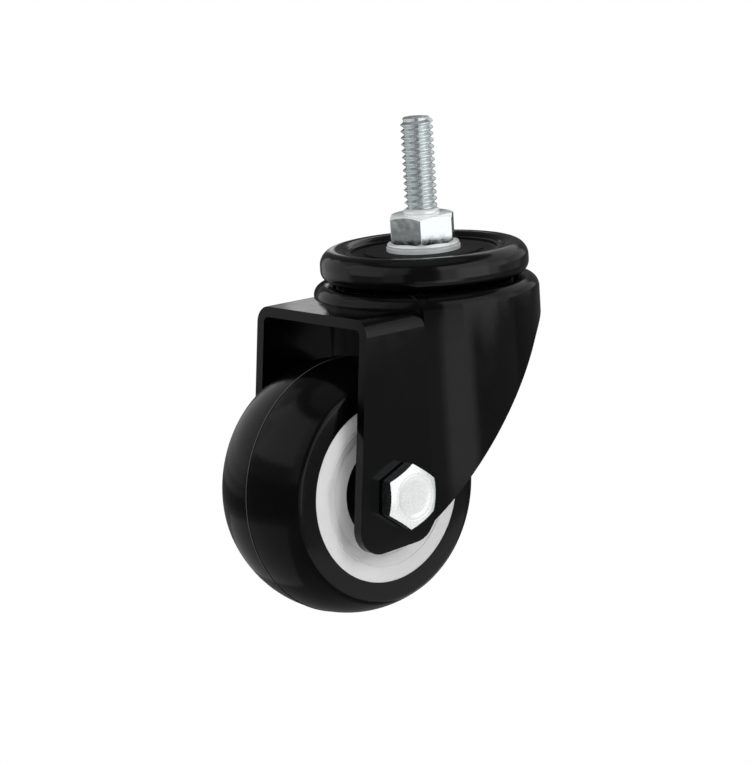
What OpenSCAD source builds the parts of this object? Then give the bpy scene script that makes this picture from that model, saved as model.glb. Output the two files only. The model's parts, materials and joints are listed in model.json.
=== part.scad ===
// Swivel chair castor with a threaded stem, a pressed steel fork and a 50 mm wheel.
// +Z runs up the stem, the axle lies along Y and the wheel trails towards -X.
// The origin is on the stem's axis, where the thread begins.

/* [Stem] */
// Outside diameter of the thread
thread_d = 6.35; // [5:0.05:10]
// Length of the thread, end chamfer included
thread_len = 17.9; // [12:0.05:40]
// Chamfer on the free end of the thread
thread_chamfer = 0.7; // [0.2:0.1:1.2]
// Diameter of the plain neck between thread and collar
neck_d = 7.1; // [6.6:0.1:11]
// Height of the plain neck
neck_h = 0.9; // [0.4:0.1:2]
// Width across the flats of the hexagon collar
collar_af = 12; // [10:0.1:16]
// Height of the hexagon collar
collar_h = 5.6; // [3:0.1:9]
// Turn of the hexagon collar about the stem
collar_turn = 46; // [0:1:59]
// Diameter of the round flange under the collar
flange_d = 14.1; // [13.4:0.1:19]
// Thickness of the round flange
flange_h = 0.8; // [0.5:0.1:2]
// Diameter of the washer between flange and cap
washer_d = 14.5; // [13:0.1:20]
// Thickness of that washer
washer_t = 0.7; // [0.4:0.1:1.5]

/* [Kingpin] */
// Diameter of the kingpin through cap and fork
kingpin_d = 9; // [7:0.1:10]
// Diameter of the kingpin where the lower pan sits
kingpin_end_d = 7; // [5:0.1:8]
// Diameter of the swaged lower head
swage_d = 11.4; // [9:0.1:13]
// Height of the swaged lower head
swage_h = 1.9; // [1:0.1:3]
// Height of the straight edge of that head
swage_edge_h = 0.8; // [0.4:0.1:0.9]
// Diameter of that head's end
swage_end_d = 8; // [6:0.1:8.8]
// Diameter of the punch mark in that end
punch_d = 4.2; // [2:0.1:5]
// Depth of the punch mark
punch_depth = 0.9; // [0.4:0.1:1.2]
// Radial clearance of washer, cap and pan on the kingpin
fit_clear = 0.05; // [0.02:0.01:0.1]
// Open gap round the kingpin in the fork
kingpin_gap = 1; // [0.5:0.1:1.5]

/* [Swivel cap] */
// Outside diameter of the cap's rolled rim
cap_d = 40.8; // [38:0.1:46]
// Height of the cap from crest to lip
cap_h = 6.2; // [5.8:0.1:9]
// Sheet thickness of the cap
cap_t = 1.6; // [1:0.1:2]
// Outer radius of the rolled rim at its crest
cap_crest_r = 3; // [2.4:0.1:3.2]
// Outer radius of the turned-in lip below
cap_lip_r = 2.2; // [1.8:0.1:2.6]
// Depth of the washer's seat below the crest
cap_dish = 0.9; // [0.4:0.1:2]
// Diameter of the raised seat in the middle of the dish
cap_seat_d = 23; // [18:0.5:26]
// Diameter of the dish floor inside the rolled rim
cap_floor_d = 28.7; // [27:0.1:29.5]
// Drop from the raised seat to the dish floor
cap_step = 0.45; // [0.1:0.05:0.8]
// Open gap between the cap's lip and the fork's head
cap_gap = 0.5; // [0.3:0.05:1.2]

/* [Swivel bearing] */
// Diameter of the upper balls
upper_ball_d = 4.76; // [4:0.01:5.2]
// Diameter of the circle through the upper balls
upper_row_d = 31; // [28:0.1:33]
// Number of upper balls
upper_count = 20; // [12:1:20]
// Diameter of the lower balls
lower_ball_d = 3.97; // [3:0.01:4.5]
// Diameter of the circle through the lower balls
lower_row_d = 21; // [20:0.1:23]
// Number of lower balls
lower_count = 16; // [8:1:16]
// Depth of the ball grooves in the fork and the pan
groove_depth = 0.35; // [0.2:0.05:0.5]
// Running clearance between a ball and its groove
ball_clear = 0.05; // [0.02:0.01:0.1]
// Sheet thickness of the lower pan
pan_t = 1.8; // [1.2:0.1:2.2]
// Outside diameter of the lower pan
pan_d = 30; // [28:0.5:34]
// Open gap between the pan's rim and the fork's head
pan_gap = 0.5; // [0.3:0.05:1]

/* [Fork] */
// Width of the fork over its legs
fork_w = 33; // [31:0.5:38]
// Sheet thickness of the fork
fork_t = 2; // [1.5:0.1:2.5]
// Diameter of the round swivel head and of the wall under it
head_d = 44.4; // [42:0.1:50]
// Height of the head above the flat plate
head_step = 2.4; // [1.5:0.1:4]
// Outer radius of the head's shoulder
shoulder_r = 2.6; // [2.2:0.1:4]
// Diameter of the boss that the head makes over the plate
boss_d = 42.8; // [40:0.1:46]
// Outer radius of that boss's shoulder
boss_round_r = 2.5; // [2.2:0.1:4]
// Radius of the two shoulders that meet in the notch above each fold
notch_r = 3; // [2.6:0.1:4]
// Outer radius of the folds between plate and legs
fold_r = 3.2; // [2.6:0.1:4]
// Radius of the fillet at the foot of the head
foot_r = 0.8; // [0.5:0.1:1.5]
// Front edge of the plate, measured from the stem's axis
plate_reach = 28.9; // [27:0.1:34]
// Forward slant of the legs' front edges
leg_slant = 6.5; // [0:0.1:10]
// Upward slant of the legs' bottom edges towards the rear
bottom_slant = 4.5; // [0:0.1:8]
// Metal left below the axle
leg_below = 10; // [8:0.1:13]
// Radius of the leg's lower front corner
toe_r = 5; // [2:0.1:8]
// Radius of the leg's lower rear corner
heel_r = 5; // [2:0.1:8]
// Where the sloping rear edge would meet the bottom edge, behind the axle
heel_reach = 5.2; // [4:0.1:10]
// Slope of the rear edge above the horizontal
rear_slope = 51.5; // [45:0.5:58]
// Slope of the rear edge at the back of the head
rear_top_slope = 10; // [0:1:30]
// Radius of the bend between the two slopes
rear_bend_r = 16; // [8:1:30]
// Height of the head and its wall at the very back
skirt_h = 6.1; // [5:0.1:9]

/* [Wheel] */
// Distance of the axle behind the stem's axis
trail = 22.6; // [20:0.1:26]
// Distance of the axle below the collar's top face
axle_drop = 49.9; // [48:0.1:56]
// Diameter of the tyre at the middle of its tread
wheel_d = 50; // [46:0.5:52]
// Width of the tyre
tyre_w = 23.8; // [20:0.1:25]
// Diameter of the tyre at its shoulders
shoulder_d = 43.2; // [40:0.1:45]
// Radius that rounds the tyre's shoulders
tyre_edge_r = 0.8; // [0.3:0.1:1.5]
// Diameter of the wheel centre's rim
rim_d = 35.1; // [32:0.1:38]
// Depth of the rim's face behind the tyre's wall
rim_recess = 0.1; // [0:0.05:0.6]
// Width of the flat ring on the rim's face
rim_ring = 3.1; // [2:0.1:4]
// Radial width of the cone inside that ring
cone_w = 2; // [1:0.1:3]
// Radius of the fine groove inside the flat ring
ring_groove_r = 0.22; // [0.1:0.02:0.4]
// Depth of the cone at its inner edge
cone_depth = 0.5; // [0.2:0.05:1.5]
// Depth of the step between cone and hub face
hub_step = 0.15; // [0.05:0.05:0.5]
// Height of the key that holds the tyre on the rim
key_h = 1.8; // [1:0.1:2.5]
// Width of that key
key_w = 7; // [4:0.1:12]

/* [Wheel bearings] */
// Outside diameter of a wheel bearing
bearing_d = 19; // [18:0.1:21]
// Bore of a wheel bearing
bearing_bore = 6.1; // [6.04:0.01:6.3]
// Width of a wheel bearing
bearing_w = 6; // [5:0.1:6.5]
// Number of balls in a wheel bearing
race_count = 7; // [6:1:8]
// Diameter of those balls
race_ball_d = 3.5; // [3:0.05:3.8]
// Radial thickness of the inner ring
inner_ring_t = 1.95; // [1.8:0.05:2.1]
// Radial thickness of the outer ring
outer_ring_t = 2; // [1.8:0.05:2.1]
// Thickness of the cage that spaces the balls
cage_t = 1.2; // [0.8:0.1:1.6]
// Width of the cage left beside a ball
cage_edge = 0.5; // [0.3:0.1:0.9]
// Thickness of the black dust cover in front of a bearing
cover_t = 1.2; // [0.8:0.1:1.4]
// Depth of the dust cover behind the hub's face
cover_recess = 0.6; // [0.3:0.1:0.9]
// Open gap between the dust cover and the inner ring
cover_gap = 0.3; // [0.2:0.05:0.5]
// Flat edge outside the cover's moulded groove
cover_edge = 1.2; // [0.8:0.1:1.6]
// Width of that groove
cover_groove_w = 1.2; // [0.6:0.1:1.6]
// Depth of that groove
cover_groove_depth = 0.35; // [0.1:0.05:0.5]

/* [Axle] */
// Diameter of the axle bolt
bolt_d = 6; // [5:0.1:6]
// Width across the flats of bolt head and nut
bolt_af = 11; // [10:0.1:13]
// Height of the bolt's hexagon head
bolt_head_h = 3.1; // [2.5:0.1:5]
// Diameter of the round face under the head
bolt_face_d = 10.1; // [9:0.1:10.6]
// Height of the round face under the head
bolt_face_h = 0.5; // [0.2:0.1:0.8]
// Turn of the bolt's head
bolt_turn = 24.5; // [0:0.5:59]
// Diameter of the dish in the head's face
dish_d = 8.6; // [7:0.1:9.4]
// Depth of that dish
dish_depth = 0.3; // [0.1:0.05:0.8]
// Chamfer on the bolt's end
bolt_chamfer = 0.6; // [0.3:0.1:1]
// Height of the nut's hexagon
nut_h = 4.4; // [3:0.1:6]
// Height of the collar that holds the nylon ring
nut_collar_h = 1.8; // [1.6:0.1:3]
// Diameter of that collar
nut_collar_d = 9.9; // [9:0.1:10.4]
// Diameter of the collar's open mouth
nut_mouth_d = 7.3; // [6.6:0.1:7.8]
// Outside diameter of the nylon ring
insert_d = 8.3; // [7.6:0.1:8.8]
// Height of the nylon ring
insert_h = 1.4; // [0.8:0.1:1.5]
// Length of the bolt past the nut
bolt_past = 1.4; // [0.5:0.1:4]
// Outside diameter of sleeve and side spacers
sleeve_d = 9; // [8.4:0.1:9.4]
// Radial clearance of the bolt in its holes
bolt_clear = 0.05; // [0.03:0.01:0.2]

/* [Hidden] */
$fn = 72;
eps = 0.01;
over = 5;
// How far a cut runs past the face that it opens
cut = 1;
// Share of a hexagon's half width that its flat end face keeps
hex_face = 0.95;
// Width of the strip that ties the cap's dish floor to its rim
rim_tie = 1;

// Levels down the stem
collar_top = -neck_h;
flange_bottom = collar_top - collar_h - flange_h;
seat_z = flange_bottom - washer_t;
crest_z = seat_z + cap_dish;
lip_z = crest_z - cap_h;
head_top = lip_z - cap_gap;
head_under = head_top - fork_t;
plate_top = head_top - head_step;
plate_under = plate_top - fork_t;
axle_z = collar_top - axle_drop;

// Swivel races
upper_ball_r = upper_ball_d / 2;
lower_ball_r = lower_ball_d / 2;
upper_ball_z = head_top - groove_depth + ball_clear + upper_ball_r;
lower_ball_z = head_under + groove_depth - ball_clear - lower_ball_r;
pan_floor = lower_ball_z - lower_ball_r - ball_clear + groove_depth;
pan_under = pan_floor - pan_t;
kingpin_hole_d = kingpin_d + 2 * kingpin_gap;

// Fork
head_r = head_d / 2;
leg_y = fork_w / 2;
leg_in = leg_y - fork_t;
bottom_z = axle_z - leg_below;
boss_r = boss_d / 2;
notch_x = -sqrt(head_r * head_r - leg_y * leg_y);
// the notch's shoulders end a little above the head, so they cut its face cleanly
notch_rise = 0.1;
notch_z = head_top + notch_rise - notch_r;
notch_t = sqrt(pow(notch_r, 2) - pow(plate_top - notch_z, 2));
foot_x = boss_r - boss_round_r + sqrt(pow(boss_round_r + foot_r, 2)
    - pow(boss_round_r - head_step + foot_r, 2));
foot_h = foot_r * (1 - (boss_round_r - head_step + foot_r) / (boss_round_r + foot_r));

// Wheel and axle
wheel_r = wheel_d / 2;
tyre_half = tyre_w / 2;
rim_half = tyre_half - rim_recess;
hub_half = rim_half - cone_depth - hub_step;
crown_drop = wheel_r - shoulder_d / 2;
crown_r = (tyre_half * tyre_half + crown_drop * crown_drop) / (2 * crown_drop);
cover_out = hub_half - cover_recess;
bearing_out = cover_out - cover_t;
bearing_in = bearing_out - bearing_w;
bearing_r = bearing_d / 2;
bore_r = bearing_bore / 2;
race_r = (bore_r + inner_ring_t + bearing_r - outer_ring_t) / 2;
race_ball_r = race_ball_d / 2;
race_y = (bearing_out + bearing_in) / 2;
bolt_r = bolt_d / 2;
nut_out = leg_y + nut_h + nut_collar_h;
shoulder_bore_r = bearing_r - outer_ring_t;

function unit(v) = v / norm(v);

// Centre of an arc of radius r that rounds the corner b between a and c
function fillet_centre(a, b, c, r) =
    let (u = unit(a - b), w = unit(c - b)) b + unit(u + w) * r / sin(acos(u * w) / 2);

// Where that arc touches the edge from b to a
function fillet_end(a, b, c, r) =
    let (u = unit(a - b), w = unit(c - b)) b + u * r / tan(acos(u * w) / 2);

// Lay a shape that was turned about Z onto the axle
module on_axle() {
    translate([-trail, 0, axle_z]) rotate([-90, 0, 0]) children();
}

// A ring about the axle between two places along Y
module axle_ring(outer_r, inner_r, y0, y1) {
    on_axle() translate([0, 0, min(y0, y1)]) difference() {
        cylinder(h = abs(y1 - y0), r = outer_r);
        translate([0, 0, -cut]) cylinder(h = abs(y1 - y0) + 2 * cut, r = inner_r);
    }
}

// A hexagon whose outer corners are chamfered as on a bolt head
module chamfered_hex(af, h, turn) {
    corner_r = af / 2 / cos(30);
    face_r = af / 2 * hex_face;
    chamfer_h = (corner_r - face_r) * tan(30);
    intersection() {
        rotate([0, 0, turn]) cylinder(h = h, r = corner_r, $fn = 6);
        union() {
            translate([0, 0, -cut]) cylinder(h = h + cut - chamfer_h, r = corner_r + cut);
            translate([0, 0, h - chamfer_h - eps])
                cylinder(h = chamfer_h + eps, r1 = corner_r, r2 = face_r);
        }
    }
}

module threaded_stem() {
    color([0.78, 0.80, 0.82]) {
        thread_r = thread_d / 2;
        difference() {
            union() {
                cylinder(h = thread_len - thread_chamfer, r = thread_r);
                translate([0, 0, thread_len - thread_chamfer])
                    cylinder(h = thread_chamfer, r1 = thread_r, r2 = thread_r - thread_chamfer);
                translate([0, 0, collar_top]) cylinder(h = neck_h, d = neck_d);
                translate([0, 0, collar_top - collar_h])
                    chamfered_hex(collar_af, collar_h, collar_turn);
                translate([0, 0, flange_bottom]) cylinder(h = flange_h, d = flange_d);
                translate([0, 0, pan_floor])
                    cylinder(h = flange_bottom - pan_floor, d = kingpin_d);
                translate([0, 0, pan_under]) cylinder(h = pan_t, d = kingpin_end_d);
                translate([0, 0, pan_under - swage_edge_h])
                    cylinder(h = swage_edge_h, d = swage_d);
                translate([0, 0, pan_under - swage_h])
                    cylinder(h = swage_h - swage_edge_h, d1 = swage_end_d, d2 = swage_d);
            }
            // centre mark of the swaging punch
            translate([0, 0, pan_under - swage_h - eps])
                cylinder(h = punch_depth + eps, d1 = punch_d, d2 = 0);
        }
    }
}

module stem_washer() {
    color([0.74, 0.76, 0.79]) translate([0, 0, seat_z]) difference() {
        cylinder(h = washer_t, d = washer_d);
        translate([0, 0, -cut])
            cylinder(h = washer_t + 2 * cut, d = kingpin_d + 2 * fit_clear);
    }
}

// Section of the cap's rolled rim, filled in; inset by the sheet it gives the hollow
module rim_section(inset) {
    crest_x = cap_d / 2 - cap_crest_r;
    lip_x = cap_d / 2 - cap_lip_r;
    translate([crest_x, crest_z - cap_crest_r]) circle(r = cap_crest_r - inset);
    translate([lip_x, lip_z + cap_lip_r]) circle(r = cap_lip_r - inset);
    translate([crest_x, lip_z + cap_lip_r])
        square([cap_crest_r - inset, cap_h - cap_crest_r - cap_lip_r]);
}

module top_cap() {
    crest_x = cap_d / 2 - cap_crest_r;
    lip_x = cap_d / 2 - cap_lip_r;
    step_r = cap_seat_d / 2;
    floor_r = cap_floor_d / 2;
    floor_z = seat_z - cap_step;
    color([0.05, 0.05, 0.055]) difference() {
        rotate_extrude() difference() {
            union() {
                rim_section(0);
                translate([0, seat_z - cap_t]) square([step_r, cap_t]);
                translate([0, floor_z - cap_t]) square([floor_r + rim_tie, cap_t]);
                translate([floor_r, floor_z - cap_t]) square([rim_tie, cap_t + cap_step]);
            }
            // inside of the rim
            rim_section(cap_t);
            translate([0, lip_z - cut]) square([lip_x, cap_lip_r + cut]);
            translate([0, lip_z + cap_lip_r - eps])
                square([lip_x, floor_z - cap_t - lip_z - cap_lip_r + eps]);
            // upper ball track
            translate([upper_row_d / 2, upper_ball_z]) circle(r = upper_ball_r + ball_clear);
            // dish floor round the raised seat
            translate([step_r, floor_z]) square([floor_r - step_r, cap_step + cap_dish]);
        }
        translate([0, 0, lip_z]) cylinder(h = cap_h + cut, d = kingpin_d + 2 * fit_clear);
    }
}

module lower_pan() {
    wall_h = head_under - pan_gap - pan_floor;
    wall_r = pan_d / 2 - pan_t;
    color([0.62, 0.63, 0.64]) rotate_extrude() difference() {
        union() {
            translate([0, pan_under]) square([wall_r, pan_t]);
            translate([wall_r, pan_floor]) square([pan_t, wall_h]);
            translate([wall_r, pan_floor]) circle(r = pan_t);
        }
        translate([0, pan_floor]) square([wall_r, wall_h + cut]);
        translate([lower_row_d / 2, lower_ball_z]) circle(r = lower_ball_r + ball_clear);
        translate([0, pan_under - cut])
            square([kingpin_end_d / 2 + fit_clear, pan_t + 2 * cut]);
    }
}

// A full ring of loose balls about the stem
module ball_row(r, row_d, z, count) {
    for (i = [0 : count - 1])
        rotate([0, 0, i * 360 / count]) translate([row_d / 2, 0, z]) sphere(r = r, $fn = 24);
}

module upper_balls() {
    color([0.85, 0.86, 0.88]) ball_row(upper_ball_r, upper_row_d, upper_ball_z, upper_count);
}

module lower_balls() {
    color([0.85, 0.86, 0.88]) ball_row(lower_ball_r, lower_row_d, lower_ball_z, lower_count);
}

// Solid round head with a rounded shoulder, running down to floor_z
module head_solid(r, top, corner, floor_z) {
    rotate_extrude() union() {
        translate([0, floor_z]) square([r, top - corner - floor_z]);
        translate([0, floor_z]) square([r - corner, top - floor_z]);
        translate([r - corner, top - corner]) circle(r = corner);
    }
}

// Solid channel with rounded folds along its upper edges, from x0 back to the stem
module channel_solid(half, top, corner, x0, floor_z) {
    rotate([90, 0, 90]) translate([0, 0, x0]) linear_extrude(height = -x0) union() {
        translate([-half, floor_z]) square([2 * half, top - corner - floor_z]);
        translate([corner - half, floor_z]) square([2 * (half - corner), top - floor_z]);
        for (s = [-1, 1]) translate([s * (half - corner), top - corner]) circle(r = corner);
    }
}

// Corners of the pressed sheet's side view, drawn in X and Z
roof_z = head_top + over;
back_x = head_r + over;
front_k = tan(leg_slant);
bottom_k = tan(bottom_slant);
roof_p = [(plate_top - roof_z) * -front_k - plate_reach, roof_z];
// where the front edge meets the bottom edge
toe_x = -(plate_reach + (plate_top - bottom_z - trail * bottom_k) * front_k)
    / (1 - bottom_k * front_k);
toe_p = [toe_x, bottom_z + (toe_x + trail) * bottom_k];
heel_p = [heel_reach - trail, bottom_z + heel_reach * bottom_k];
back_p = [back_x, head_top - skirt_h + over * tan(rear_top_slope)];
// where the two slopes of the rear edge would meet
bend_x = (back_p[1] - heel_p[1] + heel_p[0] * tan(rear_slope) - back_x * tan(rear_top_slope))
    / (tan(rear_slope) - tan(rear_top_slope));
bend_p = [bend_x, heel_p[1] + (bend_x - heel_p[0]) * tan(rear_slope)];

module side_outline() {
    toe_a = fillet_end(roof_p, toe_p, heel_p, toe_r);
    toe_b = fillet_end(heel_p, toe_p, roof_p, toe_r);
    toe_c = fillet_centre(roof_p, toe_p, heel_p, toe_r);
    heel_a = fillet_end(toe_p, heel_p, bend_p, heel_r);
    heel_b = fillet_end(bend_p, heel_p, toe_p, heel_r);
    heel_c = fillet_centre(toe_p, heel_p, bend_p, heel_r);
    bend_a = fillet_end(heel_p, bend_p, back_p, rear_bend_r);
    bend_b = fillet_end(back_p, bend_p, heel_p, rear_bend_r);
    bend_c = fillet_centre(heel_p, bend_p, back_p, rear_bend_r);
    difference() {
        union() {
            polygon([roof_p, toe_a, toe_b, heel_a, heel_b, bend_a, bend_c, bend_b,
                     back_p, [back_x, roof_z]]);
            translate(toe_c) circle(r = toe_r);
            translate(heel_c) circle(r = heel_r);
        }
        translate(bend_c) circle(r = rear_bend_r);
    }
}

// The fork as a solid block, or the hollow inside it when inset by the sheet
module fork_solid(inset, floor_z) {
    intersection() {
        head_solid(head_r - inset, head_top - inset, shoulder_r - inset, floor_z);
        translate([notch_x + inset, -back_x, floor_z])
            cube([back_x - notch_x, 2 * back_x, head_top - floor_z]);
    }
    head_solid(boss_r - inset, head_top - inset, boss_round_r - inset, floor_z);
    channel_solid(leg_y - inset, plate_top - inset, fold_r - inset,
                  -plate_reach - 4 * over, floor_z);
}

// The notch above a fold: round shoulders meet at the plate, its back slopes up to the head
module notch_scoop() {
    rotate([90, 0, 90]) linear_extrude(height = back_x) difference() {
        translate([-notch_t, plate_top]) square([2 * notch_t, head_step + cut]);
        for (s = [-1, 1]) translate([s * notch_t, notch_z]) circle(r = notch_r);
    }
}

module notch_reach() {
    rotate([90, 0, 0]) translate([0, 0, -over]) linear_extrude(height = 2 * over)
        polygon([[boss_r, plate_top], [back_x, plate_top], [back_x, head_top + cut],
                 [boss_r - head_step - cut, head_top + cut]]);
}

module fork() {
    deep = bottom_z - over;
    color([0.06, 0.06, 0.065]) difference() {
        intersection() {
            union() {
                fork_solid(0, deep);
                // fillet at the foot of the boss
                intersection() {
                    rotate_extrude() difference() {
                        translate([boss_r - boss_round_r, plate_top - eps])
                            square([foot_x - boss_r + boss_round_r, foot_h + eps]);
                        translate([foot_x, plate_top + foot_r]) circle(r = foot_r);
                    }
                    translate([-plate_reach - over, fold_r - leg_y, plate_top - cut])
                        cube([plate_reach + over, 2 * (leg_y - fold_r), foot_r + 2 * cut]);
                }
            }
            rotate([90, 0, 0]) translate([0, 0, -back_x])
                linear_extrude(height = 2 * back_x) side_outline();
        }
        fork_solid(fork_t, deep - cut);
        for (s = [-1, 1]) rotate([0, 0, s * (180 - atan2(leg_y, -notch_x))]) intersection() {
            notch_scoop();
            notch_reach();
        }
        // kingpin hole and ball tracks
        translate([0, 0, head_under - cut]) cylinder(h = fork_t + 2 * cut, d = kingpin_hole_d);
        rotate_extrude() translate([upper_row_d / 2, upper_ball_z])
            circle(r = upper_ball_r + ball_clear);
        rotate_extrude() translate([lower_row_d / 2, lower_ball_z])
            circle(r = lower_ball_r + ball_clear);
        // axle holes
        on_axle() translate([0, 0, -leg_y - cut])
            cylinder(h = fork_w + 2 * cut, r = bolt_r + bolt_clear);
    }
}

module axle_bolt() {
    head_y = -leg_y - bolt_face_h;
    color([0.80, 0.81, 0.82]) difference() {
        union() {
            on_axle() translate([0, 0, head_y])
                cylinder(h = nut_out + bolt_past - head_y - bolt_chamfer, r = bolt_r);
            on_axle() translate([0, 0, nut_out + bolt_past - bolt_chamfer])
                cylinder(h = bolt_chamfer, r1 = bolt_r, r2 = bolt_r - bolt_chamfer);
            on_axle() translate([0, 0, head_y]) cylinder(h = bolt_face_h, d = bolt_face_d);
            translate([-trail, head_y, axle_z]) rotate([90, 0, 0])
                chamfered_hex(bolt_af, bolt_head_h, bolt_turn);
        }
        // shallow dish in the head's face
        translate([-trail, head_y - bolt_head_h - eps, axle_z]) rotate([-90, 0, 0])
            cylinder(h = dish_depth + eps, d1 = dish_d, d2 = dish_d - 4 * dish_depth);
    }
}

module axle_nut() {
    color([0.76, 0.77, 0.78]) difference() {
        union() {
            on_axle() translate([0, 0, leg_y]) chamfered_hex(bolt_af, nut_h, -bolt_turn);
            on_axle() translate([0, 0, leg_y + nut_h - eps])
                cylinder(h = nut_collar_h + eps, d = nut_collar_d);
        }
        on_axle() translate([0, 0, leg_y - cut])
            cylinder(h = nut_h + nut_collar_h + 2 * cut, r = bolt_r + bolt_clear);
        on_axle() translate([0, 0, leg_y + nut_h]) cylinder(h = insert_h, d = insert_d);
        on_axle() translate([0, 0, leg_y + nut_h])
            cylinder(h = nut_collar_h + cut, d = nut_mouth_d);
    }
}

module nut_insert() {
    color([0.85, 0.85, 0.80])
        axle_ring(insert_d / 2, bolt_r + bolt_clear, leg_y + nut_h, leg_y + nut_h + insert_h);
}

module axle_sleeve() {
    color([0.72, 0.73, 0.74]) axle_ring(sleeve_d / 2, bolt_r + bolt_clear, -bearing_in, bearing_in);
}

module side_spacer(side) {
    color([0.72, 0.73, 0.74])
        axle_ring(sleeve_d / 2, bolt_r + bolt_clear, side * bearing_out, side * leg_in);
}

module spacer_near() { side_spacer(-1); }

module spacer_far() { side_spacer(1); }

module race_track(side) {
    on_axle() translate([0, 0, side * race_y]) rotate_extrude()
        translate([race_r, 0]) circle(r = race_ball_r + ball_clear);
}

module inner_ring(side) {
    color([0.80, 0.81, 0.83]) difference() {
        axle_ring(bore_r + inner_ring_t, bore_r, side * bearing_in, side * bearing_out);
        race_track(side);
    }
}

module inner_ring_near() { inner_ring(-1); }

module inner_ring_far() { inner_ring(1); }

module outer_ring(side) {
    color([0.80, 0.81, 0.83]) difference() {
        axle_ring(bearing_r, bearing_r - outer_ring_t, side * bearing_in, side * bearing_out);
        race_track(side);
    }
}

module outer_ring_near() { outer_ring(-1); }

module outer_ring_far() { outer_ring(1); }

module race_balls(side) {
    on_axle() for (i = [0 : race_count - 1])
        rotate([0, 0, i * 360 / race_count]) translate([race_r, 0, side * race_y])
            sphere(r = race_ball_r, $fn = 24);
}

module race_balls_near() { color([0.85, 0.86, 0.88]) race_balls(-1); }

module race_balls_far() { color([0.85, 0.86, 0.88]) race_balls(1); }

module cage(side) {
    pocket_r = race_ball_r + 2 * ball_clear;
    half = pocket_r + cage_edge;
    color([0.65, 0.60, 0.45]) difference() {
        axle_ring(race_r + cage_t / 2, race_r - cage_t / 2,
                  side * race_y - half, side * race_y + half);
        on_axle() for (i = [0 : race_count - 1])
            rotate([0, 0, i * 360 / race_count]) translate([race_r - cage_t, 0, side * race_y])
                rotate([0, 90, 0]) cylinder(h = 2 * cage_t, r = pocket_r);
    }
}

module cage_near() { cage(-1); }

module cage_far() { cage(1); }

module dust_cover(side) {
    color([0.07, 0.07, 0.075]) difference() {
        axle_ring(bearing_r, bore_r + inner_ring_t + cover_gap,
                  side * bearing_out, side * cover_out);
        // shallow moulded groove
        axle_ring(bearing_r - cover_edge, bearing_r - cover_edge - cover_groove_w,
                  side * (cover_out - cover_groove_depth), side * (cover_out + cut));
    }
}

module dust_cover_near() { dust_cover(-1); }

module dust_cover_far() { dust_cover(1); }

module wheel_core() {
    rim_r = rim_d / 2;
    ring_in = rim_r - rim_ring;
    cone_in = ring_in - cone_w;
    color([0.86, 0.86, 0.86]) on_axle() rotate_extrude() difference() {
        union() {
            polygon([
                [shoulder_bore_r, -hub_half], [cone_in, -hub_half],
                [cone_in, -hub_half - hub_step], [ring_in, -rim_half],
                [rim_r, -rim_half], [rim_r, rim_half],
                [ring_in, rim_half], [cone_in, hub_half + hub_step],
                [cone_in, hub_half], [shoulder_bore_r, hub_half],
            ]);
            translate([rim_r - cut, -key_w / 2]) square([cut + key_h, key_w]);
        }
        // bearing pockets, and a groove that marks the ring
        for (s = [-1, 1]) {
            translate([0, s > 0 ? bearing_in : -hub_half - cut])
                square([bearing_r, hub_half - bearing_in + cut]);
            translate([ring_in, s * rim_half]) circle(r = ring_groove_r);
        }
    }
}

module tyre() {
    rim_r = rim_d / 2;
    edge_r = tyre_edge_r;
    edge_x = wheel_r - crown_r + sqrt(pow(crown_r - edge_r, 2) - pow(tyre_half - edge_r, 2));
    color([0.05, 0.05, 0.05]) on_axle() rotate_extrude() difference() {
        union() {
            intersection() {
                translate([wheel_r - crown_r, 0]) circle(r = crown_r, $fn = 180);
                translate([0, edge_r - tyre_half]) square([wheel_r + cut, tyre_w - 2 * edge_r]);
            }
            translate([0, -tyre_half]) square([edge_x, tyre_w]);
            for (s = [-1, 1]) translate([edge_x, s * (tyre_half - edge_r)]) circle(r = edge_r);
        }
        translate([0, -tyre_half - cut]) square([rim_r, tyre_w + 2 * cut]);
        translate([rim_r - cut, -key_w / 2]) square([cut + key_h, key_w]);
    }
}

threaded_stem();
stem_washer();
top_cap();
lower_pan();
upper_balls();
lower_balls();
fork();
axle_bolt();
axle_nut();
nut_insert();
axle_sleeve();
spacer_near();
spacer_far();
inner_ring_near();
inner_ring_far();
race_balls_near();
race_balls_far();
cage_near();
cage_far();
outer_ring_near();
outer_ring_far();
dust_cover_near();
dust_cover_far();
wheel_core();
tyre();
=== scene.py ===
"""Swivel chair castor, dressed around its frame: +Z up the stem, axle along Y, wheel behind at -X."""
import json
import math

import bmesh
import bpy
from mathutils import Matrix, Vector


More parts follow.
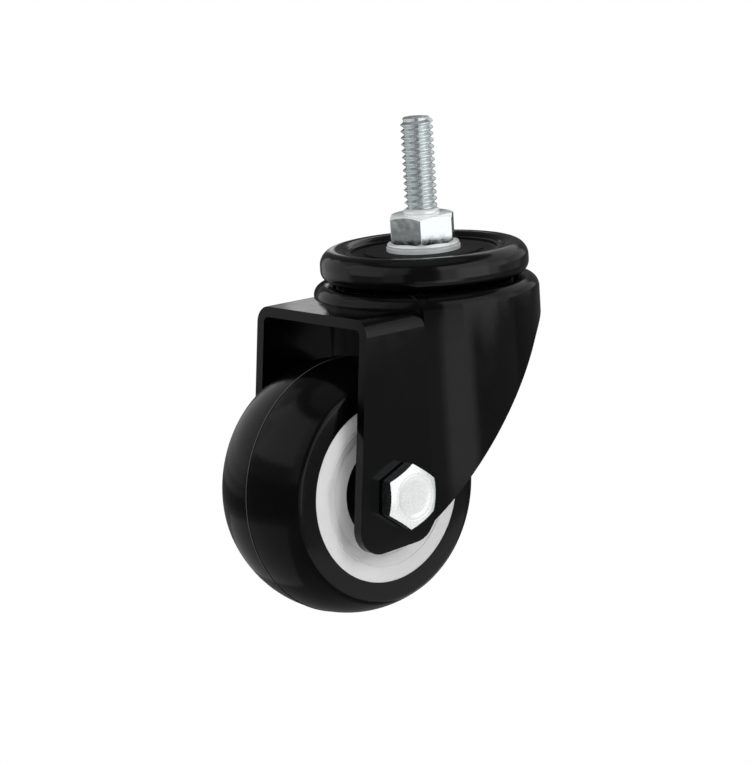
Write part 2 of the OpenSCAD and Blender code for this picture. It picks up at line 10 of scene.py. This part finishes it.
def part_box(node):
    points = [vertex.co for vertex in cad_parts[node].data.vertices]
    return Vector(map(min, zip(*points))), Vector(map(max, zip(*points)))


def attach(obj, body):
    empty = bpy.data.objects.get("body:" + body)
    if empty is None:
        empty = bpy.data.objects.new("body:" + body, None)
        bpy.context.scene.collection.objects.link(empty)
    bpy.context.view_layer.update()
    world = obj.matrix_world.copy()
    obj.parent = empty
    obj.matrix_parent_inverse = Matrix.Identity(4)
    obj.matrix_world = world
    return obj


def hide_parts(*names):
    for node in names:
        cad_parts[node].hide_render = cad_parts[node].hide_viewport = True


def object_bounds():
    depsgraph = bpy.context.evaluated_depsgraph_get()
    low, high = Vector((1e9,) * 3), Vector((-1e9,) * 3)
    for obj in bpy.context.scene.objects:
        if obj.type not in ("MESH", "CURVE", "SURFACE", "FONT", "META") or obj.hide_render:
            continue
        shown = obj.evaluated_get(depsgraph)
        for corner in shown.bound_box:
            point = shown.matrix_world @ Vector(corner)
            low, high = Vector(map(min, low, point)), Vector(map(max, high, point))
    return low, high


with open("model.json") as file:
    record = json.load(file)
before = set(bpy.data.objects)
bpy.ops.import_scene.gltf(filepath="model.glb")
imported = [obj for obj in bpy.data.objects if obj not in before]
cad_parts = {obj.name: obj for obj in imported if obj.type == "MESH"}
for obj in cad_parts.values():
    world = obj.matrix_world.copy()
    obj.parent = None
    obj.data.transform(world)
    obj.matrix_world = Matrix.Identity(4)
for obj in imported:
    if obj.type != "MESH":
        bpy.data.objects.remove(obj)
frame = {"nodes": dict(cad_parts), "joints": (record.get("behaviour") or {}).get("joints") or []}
cad_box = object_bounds()
nodes = frame["nodes"]


# Threaded stem: one cold-headed steel piece with a rolled thread, a short neck, a hexagon
# collar, a round flange and the kingpin, whose foot is swaged over under the lower pan.
# It is bright zinc plated, mirror-like on the collar's flats and duller on the flange.
MM = 0.001


def grain(tree, scale, detail):
    """Fine noise on Object coordinates, which are in metres."""
    place = tree.nodes.new("ShaderNodeTexCoord")
    noise = tree.nodes.new("ShaderNodeTexNoise")
    noise.inputs["Scale"].default_value = scale
    noise.inputs["Detail"].default_value = detail
    tree.links.new(place.outputs["Object"], noise.inputs["Vector"])
    return noise.outputs["Fac"]


def spread(tree, source, low, high, socket, start=0.35, end=0.65):
    """Maps a pattern's stretch from start to end onto a socket, from low to high."""
    ramp = tree.nodes.new("ShaderNodeMapRange")
    ramp.inputs["From Min"].default_value = start
    ramp.inputs["From Max"].default_value = end
    ramp.inputs["To Min"].default_value = low
    ramp.inputs["To Max"].default_value = high
    tree.links.new(source, ramp.inputs["Value"])
    tree.links.new(ramp.outputs["Result"], socket)


def blend_tones(tree, dark, light, socket):
    """Puts a blend of two tones onto a colour socket and gives back the blend's factor."""
    mix = tree.nodes.new("ShaderNodeMix")
    mix.data_type = "RGBA"
    mix.inputs["A"].default_value = (*dark, 1)
    mix.inputs["B"].default_value = (*light, 1)
    tree.links.new(mix.outputs["Result"], socket)
    return mix.inputs["Factor"]


def relief(tree, source, height, shader):
    """Raises a pattern as bump by a height in mm."""
    bump = tree.nodes.new("ShaderNodeBump")
    bump.inputs["Strength"].default_value = 1.0
    bump.inputs["Distance"].default_value = height * MM
    tree.links.new(source, bump.inputs["Height"])
    tree.links.new(bump.outputs["Normal"], shader.inputs["Normal"])


def make_finish(name, metallic, tones, roughness, height, clouds, specular=0.5, skin=None):
    """A surface finish. Clouds, a noise's scale and detail, lead the tone from dark to light and
    the roughness between two values, and stand up by a height in mm. A skin of its own scale
    and detail may stand up instead, and a single tone colours the surface evenly.
    """
    material = bpy.data.materials.new(name)
    material.use_nodes = True
    tree = material.node_tree
    shader = tree.nodes["Principled BSDF"]
    shader.inputs["Metallic"].default_value = metallic
    shader.inputs["Specular IOR Level"].default_value = specular
    cloudy = grain(tree, *clouds)
    if len(tones) == 2:
        tree.links.new(cloudy, blend_tones(tree, *tones, shader.inputs["Base Color"]))
    else:
        shader.inputs["Base Color"].default_value = (*tones[0], 1)
    spread(tree, cloudy, *roughness, shader.inputs["Roughness"])
    relief(tree, grain(tree, *skin) if skin else cloudy, height, shader)
    return material


def frost_and_painted_highlight(material, axis, start, end, pale, metallic):
    """Dulls and pales a plate on the faces that look along an axis of the object. The dull face is
    real, and its paleness is a painted highlight.
    """
    tree = material.node_tree
    shader = tree.nodes["Principled BSDF"]
    place = tree.nodes.new("ShaderNodeTexCoord")
    split = tree.nodes.new("ShaderNodeSeparateXYZ")
    tree.links.new(place.outputs["Normal"], split.inputs["Vector"])
    spread(tree, split.outputs[axis], 1.0, metallic, shader.inputs["Metallic"], start, end)
    plain = shader.inputs["Base Color"].links[0].from_socket
    factor = blend_tones(tree, pale, pale, shader.inputs["Base Color"])
    tree.links.new(plain, factor.node.inputs["A"])
    spread(tree, split.outputs[axis], 0.0, 1.0, factor, start, end)


zinc = make_finish("zinc_plate", metallic=0.85, tones=[(0.56, 0.62, 0.63), (0.88, 0.91, 0.91)],
                   roughness=(0.14, 0.28), height=0.01, clouds=(900, 5), skin=(5200, 3))
flat_zinc = make_finish("zinc_flats", metallic=1.0, tones=[(0.62, 0.68, 0.70), (0.84, 0.87, 0.87)],
                        roughness=(0.08, 0.2), height=0.014, clouds=(800, 5))
# the collar's top and chamfer: dull zinc, paled as a painted highlight
frost_and_painted_highlight(flat_zinc, "Z", start=0.15, end=0.5, pale=(0.94, 0.97, 0.97), metallic=0.25)
dull_zinc = make_finish("zinc_dull", metallic=0.5, tones=[(0.84, 0.88, 0.88), (0.96, 0.97, 0.97)],
                        roughness=(0.28, 0.42), height=0.01, clouds=(1200, 4))


def sweep_line(bm, points, steps, angle=360, climb=0):
    """Sweeps a line of points, in mm, about Z by an angle in degrees, while it climbs some mm."""
    verts = [bm.verts.new([part * MM for part in point]) for point in points]
    edges = [bm.edges.new(pair) for pair in zip(verts, verts[1:])]
    bmesh.ops.spin(bm, geom=verts + edges, cent=(0, 0, 0), axis=(0, 0, 1),
                   angle=math.radians(angle), steps=steps, dvec=(0, 0, climb * MM / steps),
                   use_merge=angle == 360 and climb == 0)


def lathe(bm, profile, steps=144):
    """Turns a profile of (radius, height) in mm about Z; one that misses the axis is closed."""
    if profile[0][0] > 0:
        profile = profile + profile[:1]
    sweep_line(bm, [(radius, 0, height) for radius, height in profile], steps)


def finish_mesh(bm, name, material, smooth_angle=30):
    """Makes an object from a bmesh, smooth except along its sharp edges."""
    bmesh.ops.remove_doubles(bm, verts=bm.verts, dist=0.0001 * MM)
    bmesh.ops.recalc_face_normals(bm, faces=bm.faces)
    for face in bm.faces:
        face.smooth = True
    for edge in bm.edges:
        if len(edge.link_faces) == 2 and edge.calc_face_angle() > math.radians(smooth_angle):
            edge.smooth = False
    mesh = bpy.data.meshes.new(name)
    bm.to_mesh(mesh)
    bm.free()
    piece = bpy.data.objects.new(name, mesh)
    bpy.context.scene.collection.objects.link(piece)
    mesh.materials.append(material)
    return piece


def slice_off(bm, place, outward):
    """Cuts away what lies beyond a plane and closes the cut."""
    cut = bmesh.ops.bisect_plane(bm, geom=bm.verts[:] + bm.edges[:] + bm.faces[:],
                                 plane_co=place, plane_no=outward, clear_outer=True)
    rim = [edge for edge in cut["geom_cut"] if isinstance(edge, bmesh.types.BMEdge)]
    bmesh.ops.holes_fill(bm, edges=rim, sides=0)


thread_r = 3.175
thread_root = 2.56
thread_pitch = 1.27
thread_turns = 17
thread_crest = 0.14 * thread_pitch
thread_chamfer = 0.7
kingpin_foot, thread_top = (corner[2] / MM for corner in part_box("threaded_stem"))


def thread_mesh(bm, steps=72):
    """A rolled thread: one zigzag line is swept a full turn while it climbs one pitch."""
    flank = thread_pitch / 2 - thread_crest
    zigzag = []
    for turn in range(thread_turns):
        foot = (turn - 1) * thread_pitch
        crest = foot + thread_crest + flank
        zigzag += [(thread_root, 0, foot), (thread_root, 0, foot + thread_crest),
                   (thread_r, 0, crest), (thread_r, 0, crest + thread_crest)]
    zigzag.append((thread_root, 0, (thread_turns - 1) * thread_pitch))
    sweep_line(bm, zigzag, steps, climb=thread_pitch)
    bmesh.ops.remove_doubles(bm, verts=bm.verts, dist=0.002 * MM)
    slice_off(bm, (0, 0, 0), (0, 0, -1))
    slice_off(bm, (0, 0, thread_top * MM), (0, 0, 1))
    # the free end's chamfer presses the crests down to a cone
    chamfer_foot = thread_top - thread_chamfer
    for vert in bm.verts:
        limit = thread_r * MM - max(0.0, vert.co.z - chamfer_foot * MM)
        radius = math.hypot(vert.co.x, vert.co.y)
        if radius > limit:
            vert.co.x *= limit / radius
            vert.co.y *= limit / radius


bm = bmesh.new()
thread_mesh(bm)
thread = finish_mesh(bm, "stem_thread", zinc, 25)
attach(thread, "stem")
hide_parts("threaded_stem")


def cut_hexagon(bm, across_flats, turn):
    """Slices a turned blank to a hexagon about Z, so that its chamfer leaves the usual arcs.
    Its width across the flats is in mm and its turn in degrees.
    """
    corner_round = 0.18 * MM
    least_fold = math.radians(50)
    nearly_upright = 0.99
    for side in range(6):
        angle = math.radians(turn + 30 + 60 * side)
        outward = Vector((math.cos(angle), math.sin(angle), 0))
        slice_off(bm, outward * across_flats / 2 * MM, outward)
    upright = [edge for edge in bm.edges if len(edge.link_faces) == 2
               and edge.calc_face_angle() > least_fold
               and abs((edge.verts[0].co - edge.verts[1].co).normalized().z) > nearly_upright]
    bmesh.ops.bevel(bm, geom=upright, offset=corner_round, segments=3, affect="EDGES",
                    profile=0.5, material=-1)


collar_flats = 12
collar_turn = 46
collar_top = -0.9
collar_foot = -6.55
top_face_r = 5.45
blank_r = 6.95
top_drop = 0.72
foot_chamfer = 0.55
bm = bmesh.new()
lathe(bm, [(0, collar_top), (top_face_r, collar_top), (top_face_r + 0.35, collar_top - 0.08),
           (blank_r, collar_top - top_drop), (blank_r, collar_foot + foot_chamfer),
           (blank_r - 0.65, collar_foot), (0, collar_foot)])
cut_hexagon(bm, collar_flats, collar_turn)
collar = finish_mesh(bm, "stem_collar", flat_zinc)
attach(collar, "stem")

neck_top = 0.05
neck_r = 3.5
core_r = 5.2
flange_r = 7.05
flange_top = -6.5
flange_foot = -7.3
kingpin_r = 4.5
swage_r = 5.7
swage_z = -21.3
swage_foot_r = 4.0
punch_r = 2.2
punch_depth = 0.67
bm = bmesh.new()
lathe(bm, [(0, neck_top), (neck_r - 0.35, neck_top), (neck_r, neck_top - 0.3),
           (neck_r + 0.05, collar_top + 0.2), (neck_r + 0.25, collar_top - 0.03),
           (core_r, collar_top - 0.1), (core_r, flange_top + 0.15),
           (flange_r - 0.45, flange_top), (flange_r - 0.1, flange_top - 0.12),
           (flange_r, flange_top - 0.35), (flange_r - 0.05, flange_foot + 0.15),
           (flange_r - 0.25, flange_foot), (kingpin_r, flange_foot), (kingpin_r, swage_z + 2.2),
           (swage_r - 0.2, swage_z + 0.33), (swage_r, swage_z), (swage_r - 0.3, swage_z - 0.6),
           (swage_foot_r, kingpin_foot), (punch_r, kingpin_foot), (0, kingpin_foot + punch_depth)])
kingpin = finish_mesh(bm, "stem_kingpin", dull_zinc)
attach(kingpin, "stem")


# Stem washer: a thin stamped washer of zinc-plated steel between the flange and the cap,
# clamped there when the kingpin's foot is swaged.
def dress(node, material):
    """Gives a frame part its finish."""
    mesh = nodes[node].data
    mesh.materials.clear()
    mesh.materials.append(material)


dress("stem_washer", dull_zinc)


# Swivel cap and fork: pressed steel sheet under gloss black powder coat, with a faint
# orange peel. The cap is held by the stem, and the fork turns under it on its balls.
paint = make_finish("gloss_black_coat", metallic=0.0, tones=[(0.0014, 0.0014, 0.0015)],
                    roughness=(0.12, 0.18), height=0.004, clouds=(260, 4), specular=0.25,
                    skin=(1400, 3))
dress("fork", paint)

gloss = (0.12, 0.2)
enamel = make_finish("cap_enamel", metallic=0.0, tones=[(0.0014, 0.0014, 0.0016)],
                     roughness=gloss, height=0.004, clouds=(300, 4), specular=0.38,
                     skin=(1100, 3))
# the powder runs thin and dull on the dish's floor, round the washer's seat
dish_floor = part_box("stem_washer")[0][2]
dull_r = 13
glossy_r = 15.5
dull_roughness = 0.75
tree = enamel.node_tree
shader = tree.nodes["Principled BSDF"]
hazy = shader.inputs["Roughness"].links[0].from_socket
place = tree.nodes.new("ShaderNodeTexCoord")
reach = tree.nodes.new("ShaderNodeVectorMath")
reach.operation = "DISTANCE"
reach.inputs[1].default_value = (0, 0, dish_floor)
tree.links.new(place.outputs["Object"], reach.inputs[0])
rougher = tree.nodes.new("ShaderNodeMath")
rougher.operation = "MAXIMUM"
tree.links.new(hazy, rougher.inputs[0])
spread(tree, reach.outputs["Value"], dull_roughness, gloss[0], rougher.inputs[1],
       dull_r * MM, glossy_r * MM)
tree.links.new(rougher.outputs["Value"], shader.inputs["Roughness"])
dress("top_cap", enamel)


# Lower pan: a plain pressed steel cup under the fork's head, dark with grease, which the
# kingpin's swaged foot holds up against the lower row of balls.
pan = make_finish("greased_steel", metallic=1.0, tones=[(0.16, 0.15, 0.13), (0.45, 0.45, 0.44)],
                  roughness=(0.3, 0.6), height=0.03, clouds=(500, 5))
dress("lower_pan", pan)


# Swivel balls and bearing steel: hardened balls and rings, ground bright and lightly oiled.
# The balls run loose in the head and in two small bearings, which sit on the axle's sleeve.
bright = make_finish("ground_steel", metallic=1.0, tones=[(0.5, 0.5, 0.5), (0.66, 0.66, 0.67)],
                     roughness=(0.08, 0.22), height=0.004, clouds=(1100, 4))
for name in ("upper_balls", "lower_balls", "race_balls_near", "race_balls_far", "inner_ring_near",
             "inner_ring_far", "outer_ring_near", "outer_ring_far", "axle_sleeve", "spacer_near",
             "spacer_far"):
    dress(name, bright)


# Axle bolt and lock nut: a zinc-plated hexagon bolt through both legs, with a nylon-ring
# lock nut on the far side. Its head is cold-formed, with chamfered corners, a fine ring and
# a shallow dish, and stands on a round face of its own.
wheel_spin = next(joint for joint in frame["joints"] if joint["name"] == "wheel_spin")
axle = Vector(wheel_spin["pos_m"])
along_axle = Matrix.Translation(axle) @ Matrix.Rotation(math.radians(-90), 4, "X")


def to_axle(bm):
    """Lays a shape turned about Z onto the axle: its +Z then points to the far side."""
    bmesh.ops.transform(bm, matrix=along_axle, verts=bm.verts)


bolt_zinc = make_finish("bolt_zinc", metallic=1.0, tones=[(0.50, 0.56, 0.58), (0.66, 0.70, 0.71)],
                        roughness=(0.2, 0.32), height=0.02, clouds=(1300, 5))
# the head's outer face: dull zinc, paled as a painted highlight
frost_and_painted_highlight(bolt_zinc, "Y", start=-0.3, end=-0.7, pale=(0.93, 0.96, 0.955), metallic=0.25)

bolt_flats = 11
bolt_turn = -24.5
bolt_blank_r = 6.4
head_t = 3.1
head_chamfer = 0.95
head_edge = 0.2
dish_r = 3.1
dish_depth = 0.3
groove_r = 4.3
groove_depth = 0.1
ring_r = 4.55
bolt_near, bolt_far = (corner[1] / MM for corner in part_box("axle_bolt"))
# radius, and depth below the top of the head
head_profile = [(0, dish_depth), (dish_r, dish_depth), (dish_r + 0.4, 0.22), (dish_r + 0.75, 0.06),
                (groove_r - 0.15, 0.02), (groove_r, groove_depth), (groove_r + 0.1, groove_depth),
                (ring_r, 0), (ring_r + 0.2, 0.03), (bolt_blank_r, head_chamfer),
                (bolt_blank_r, head_t - head_edge), (bolt_blank_r - head_edge, head_t),
                (0, head_t)]
bm = bmesh.new()
lathe(bm, [(radius, bolt_near + depth) for radius, depth in head_profile])
cut_hexagon(bm, bolt_flats, bolt_turn)
to_axle(bm)
head = finish_mesh(bm, "bolt_head", bolt_zinc)
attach(head, "fork")
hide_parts("axle_bolt")

# this piece begins inside the head, with the round face that presses on the leg
shank_r = 3.0
tip_chamfer = 0.6
face_r = 5.06
face_top = -17.2
face_seat = -16.5
bm = bmesh.new()
lathe(bm, [(0, face_top), (face_r - 0.16, face_top), (face_r - 0.01, face_top + 0.2),
           (face_r, face_seat), (shank_r, face_seat), (shank_r, bolt_far - tip_chamfer),
           (shank_r - tip_chamfer, bolt_far), (0, bolt_far)], steps=96)
to_axle(bm)
shank = finish_mesh(bm, "bolt_shank", zinc)
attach(shank, "fork")
dress("axle_nut", zinc)


# Nylon parts: the lock nut's pressed-in ring and the cages that space the bearing balls,
# all moulded in natural nylon.
nylon = make_finish("natural_nylon", metallic=0.0, tones=[(0.66, 0.63, 0.52), (0.76, 0.73, 0.63)],
                    roughness=(0.38, 0.5), height=0.01, clouds=(700, 4))
for name in ("nut_insert", "cage_near", "cage_far"):
    dress(name, nylon)


# Dust covers: black moulded plastic rings, matt, pressed into the wheel centre in front of
# its bearings.
cover = make_finish("black_plastic", metallic=0.0, tones=[(0.006, 0.006, 0.006)],
                    roughness=(0.38, 0.55), height=0.01, clouds=(1600, 4), specular=0.2)
for name in ("dust_cover_near", "dust_cover_far"):
    dress(name, cover)


# Wheel centre: a white nylon moulding with a satin face, faintly uneven where it cooled.
# It carries the bearings in its hub and the tyre on its rim.
white = make_finish("white_nylon", metallic=0.0, tones=[(0.70, 0.70, 0.705), (0.78, 0.78, 0.78)],
                    roughness=(0.34, 0.46), height=0.02, clouds=(320, 4), specular=0.4)
dress("wheel_core", white)


# Tyre: black polyurethane cast round the wheel centre, strongly crowned and smooth from a
# polished mould, whose parting line stands up as a hair-thin ridge. The thin paler grey band
# along it is a painted highlight.
tyre_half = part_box("tyre")[1][1] / MM
bore_r = 17.56
wall_r = 20.9
corner_r = 21.3
crown_r = 24.9
crown_drop = 3.35
crown_power = 2.15
crown_half = tyre_half - 0.45
crown_steps = 20
seam_r = 25.0
seam_half = 0.08
seam_foot = 0.16
# half width and fade in mm of the painted highlight along the parting line
seam_highlight_half = 0.05
seam_highlight_fade = 0.06

black = (0.0014, 0.0014, 0.0014)
# the grey of the painted highlight along the parting line
seam_highlight_grey = (0.09, 0.09, 0.09)
tread = make_finish("cast_polyurethane", metallic=0.0, tones=[black], roughness=(0.13, 0.2),
                    height=0.006, clouds=(900, 4), specular=0.25)
tree = tread.node_tree
shader = tree.nodes["Principled BSDF"]
place = tree.nodes.new("ShaderNodeTexCoord")
split = tree.nodes.new("ShaderNodeSeparateXYZ")
tree.links.new(place.outputs["Object"], split.inputs["Vector"])
beside = tree.nodes.new("ShaderNodeMath")
beside.operation = "ABSOLUTE"
tree.links.new(split.outputs["Y"], beside.inputs[0])
# a painted highlight: paler grey in a thin band along the parting line
seam_highlight = blend_tones(tree, black, seam_highlight_grey, shader.inputs["Base Color"])
spread(tree, beside.outputs["Value"], 1.0, 0.0, seam_highlight, seam_highlight_half * MM,
       (seam_highlight_half + seam_highlight_fade) * MM)

# half a section, from the middle of the tread out to the bore
half_section = [(seam_r, seam_half), (crown_r, seam_foot)]
for step in range(1, crown_steps + 1):
    across = crown_half * step / crown_steps
    half_section.append((crown_r - crown_drop * (across / tyre_half) ** crown_power, across))
half_section += [(corner_r, tyre_half - 0.1), (wall_r, tyre_half), (bore_r, tyre_half)]
bm = bmesh.new()
lathe(bm, [(radius, -across) for radius, across in reversed(half_section)] + half_section)
to_axle(bm)
tyre = finish_mesh(bm, "cast_tyre", tread, 35)
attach(tyre, "wheel")
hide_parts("tyre")


# Studio: a room of pale seamless paper, on the floor and all round, which is white to the eye
# and wherever something glossy mirrors it, and gives the castor a plain soft light.
def show_white(tree, plain, white_light, output):
    """Lets rays from the camera, off gloss and through glass see white, and the rest plain."""
    rays = tree.nodes.new("ShaderNodeLightPath")
    seen = rays.outputs["Is Camera Ray"]
    for kind in ("Is Glossy Ray", "Is Transmission Ray"):
        either = tree.nodes.new("ShaderNodeMath")
        either.operation = "MAXIMUM"
        tree.links.new(seen, either.inputs[0])
        tree.links.new(rays.outputs[kind], either.inputs[1])
        seen = either.outputs["Value"]
    mix = tree.nodes.new("ShaderNodeMixShader")
    tree.links.new(seen, mix.inputs["Fac"])
    tree.links.new(plain, mix.inputs[1])
    tree.links.new(white_light, mix.inputs[2])
    tree.links.new(mix.outputs["Shader"], tree.nodes[output].inputs["Surface"])


paper = bpy.data.materials.new("white_paper")
paper.use_nodes = True
tree = paper.node_tree
surface = tree.nodes["Principled BSDF"]
surface.inputs["Base Color"].default_value = (0.86, 0.86, 0.86, 1)
surface.inputs["Roughness"].default_value = 0.9
surface.inputs["Specular IOR Level"].default_value = 0.0
glow = tree.nodes.new("ShaderNodeEmission")
glow.inputs["Color"].default_value = (1, 1, 1, 1)
show_white(tree, surface.outputs["BSDF"], glow.outputs["Emission"], "Material Output")

floor_z = cad_box[0][2]
floor_half = 4.0
bm = bmesh.new()
bmesh.ops.create_grid(bm, x_segments=1, y_segments=1, size=floor_half,
                      matrix=Matrix.Translation((0, 0, floor_z)))
floor = finish_mesh(bm, "floor_paper", paper)

room_level = 0.42
world = bpy.data.worlds.new("studio")
bpy.context.scene.world = world
world.use_nodes = True
tree = world.node_tree
backdrop = tree.nodes["Background"]
backdrop.inputs["Color"].default_value = (1, 1, 1, 1)
backdrop.inputs["Strength"].default_value = 1.0
room = tree.nodes.new("ShaderNodeBackground")
room.inputs["Color"].default_value = (1, 1, 1, 1)
room.inputs["Strength"].default_value = room_level
show_white(tree, room.outputs["Background"], backdrop.outputs["Background"], "World Output")


# Reflection tent: a dim round tent about the castor, with paler cards on its wall and pale
# fans on its floor. Only reflections see them, so the black paint and the zinc take their
# bright and dark fields from here.
def glow_sheet(name, ends, bearing, sweep, level):
    """A line between two (radius, height) ends in mm, swept from a bearing into a lit sheet."""
    cloth = bpy.data.materials.new(name)
    cloth.use_nodes = True
    tree = cloth.node_tree
    tree.nodes.remove(tree.nodes["Principled BSDF"])
    glow = tree.nodes.new("ShaderNodeEmission")
    glow.inputs["Color"].default_value = (1, 1, 1, 1)
    glow.inputs["Strength"].default_value = level
    tree.links.new(glow.outputs["Emission"], tree.nodes["Material Output"].inputs["Surface"])
    sweep_steps = 48
    start = math.radians(bearing)
    bm = bmesh.new()
    sweep_line(bm, [(radius * math.cos(start), radius * math.sin(start), height)
                    for radius, height in ends], sweep_steps, sweep)
    sheet = finish_mesh(bm, name, cloth)
    sheet.visible_camera = False
    sheet.visible_diffuse = False
    sheet.visible_transmission = False
    sheet.visible_shadow = False


tent_r = 115
tent_top = 230
floor_gap = 0.3
tent_foot = floor_z / MM + floor_gap
glow_sheet("tent_wall", [(tent_r, tent_foot), (tent_r, tent_top)], bearing=0, sweep=360, level=0.1)
glow_sheet("tent_roof", [(0, tent_top), (tent_r, tent_top)], bearing=0, sweep=360, level=0.25)
glow_sheet("tent_floor", [(0, tent_foot), (tent_r, tent_foot)], bearing=0, sweep=360, level=0.16)

# bearing from and to in degrees, foot and top in mm, and level. A bearing runs from +X
# towards +Y, the lens stands at -129, and a later card lies in front of an earlier one.
cards = [
    (-141, -40, -74, -34, 0.29),
    (-40, -15, -74, -34, 0.14),
    (-80, -67, -41, -34, 0.9),
    (-141, -121, -74, -34, 0.42),
    (-121, -89, -74, -34, 0.75),
    (-117, -93, -74, -34, 1.23),
    (-115, -97, -34, 30, 0.85),
    (-97, -62, -36, 30, 1.35),
    (-62, -48, -34, -10, 0.85),
    (-48, -10, -34, -10, 0.3),
    (-62, -35, -10, 30, 0.9),
    (-35, 10, -10, 30, 0.5),
    (-115, -55, 30, 110, 1.05),
    (-55, 35, 30, 110, 0.7),
    (30, 50, 40, 75, 1.1),
    (85, 147, -60, -48, 0.26),
    (85, 147, -48, -36, 0.42),
    (85, 147, -36, 30, 0.56),
    (92, 130, 30, 60, 0.5),
    (105, 147, 60, 115, 0.34),
    (147, 187, -34, -14, 0.2),
    (130, 187, 30, 115, 0.68),
    (147, 187, -14, 30, 0.74),
    (187, 208, -34, 5, 0.36),
    (187, 212, 5, 115, 0.48),
    (60, 69, -5, 25, 0.5),
    (61.5, 66.5, -5, 25, 1.0),
]
wall_gap = 0.5
card_gap = 0.25
for number, (start, end, foot, top, level) in enumerate(cards, 1):
    radius = tent_r - wall_gap - card_gap * number
    glow_sheet(f"card_{number}", [(radius, foot), (radius, top)], start, end - start, level)

# inner and outer radius in mm, bearing and sweep in degrees, level
fans = {
    "floor_fan": (0, 62, -150, 105, 0.85),
    "floor_fan_edge": (62, 112, -150, 105, 0.36),
    "floor_fan_left": (42, 95, 118, 66, 0.36),
}
fan_foot = tent_foot + floor_gap
for name, (inner_r, outer_r, start, sweep, level) in fans.items():
    glow_sheet(name, [(inner_r, fan_foot), (outer_r, fan_foot)], start, sweep, level)


# Lamps and camera: two soft boxes, high on the left and on the right, which give no
# highlight of their own, and the long lens that sees the castor as it was photographed.
def softbox(name, place, width, height, power):
    """A rectangular soft lamp that looks at the head of the castor; sizes are in metres."""
    target = Vector((0, 0, -30 * MM))
    lamp = bpy.data.lights.new(name, "AREA")
    lamp.shape = "RECTANGLE"
    lamp.size = width
    lamp.size_y = height
    lamp.energy = power
    holder = bpy.data.objects.new(name, lamp)
    holder.location = place
    holder.rotation_euler = (target - Vector(place)).to_track_quat("-Z", "Y").to_euler()
    holder.visible_glossy = False
    bpy.context.scene.collection.objects.link(holder)


softbox("soft_left", place=(-0.9, -0.3, 0.8), width=0.5, height=0.5, power=7)
softbox("soft_right", place=(0.3, -1.0, 0.5), width=0.4, height=0.6, power=5)

view = bpy.data.cameras.new("photo_view")
view.lens = 186.95
view.sensor_width = 36
view.clip_start = 0.01
# the lens's place in metres, its bearing and rise as seen from the castor, and its roll
lens_place = (-0.4937, -0.5837, 0.1133)
lens_bearing = math.radians(-129.408)
lens_rise = math.radians(10.897)
lens_roll = math.radians(-3.415)
quarter = math.radians(90)
camera = bpy.data.objects.new("photo_view", view)
camera.matrix_world = (Matrix.Translation(lens_place)
                       @ Matrix.Rotation(lens_bearing + quarter, 4, "Z")
                       @ Matrix.Rotation(quarter - lens_rise, 4, "X")
                       @ Matrix.Rotation(lens_roll, 4, "Z"))
bpy.context.scene.collection.objects.link(camera)
bpy.context.scene.camera = camera

bpy.context.scene.view_settings.view_transform = "Standard"
